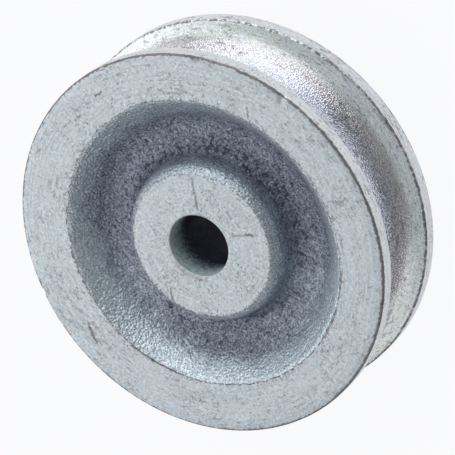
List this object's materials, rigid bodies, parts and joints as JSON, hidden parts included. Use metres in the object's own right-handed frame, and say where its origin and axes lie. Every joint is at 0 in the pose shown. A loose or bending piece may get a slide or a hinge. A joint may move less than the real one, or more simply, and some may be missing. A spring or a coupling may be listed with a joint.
{
  "type": "v groove wheel",
  "caption": "Round cast wheel with one deep groove round its rim, a recessed web on both sides and a plain bored hub.",
  "frame": {"origin": "on the wheel's axis, in the plane of its lower face", "axes": "+Z along the axle's bore, from the lower face to the upper; X and Y square to it"},
  "size_m": [0.05, 0.05, 0.0143],
  "materials": {
    "zinc_plated_iron": "zinc plated: turned bright on the rim, groove and faces, as cast and grainy in the recesses"
  },
  "bodies": {
    "root": {"wheel": "zinc_plated_iron"}
  },
  "joints": []
}
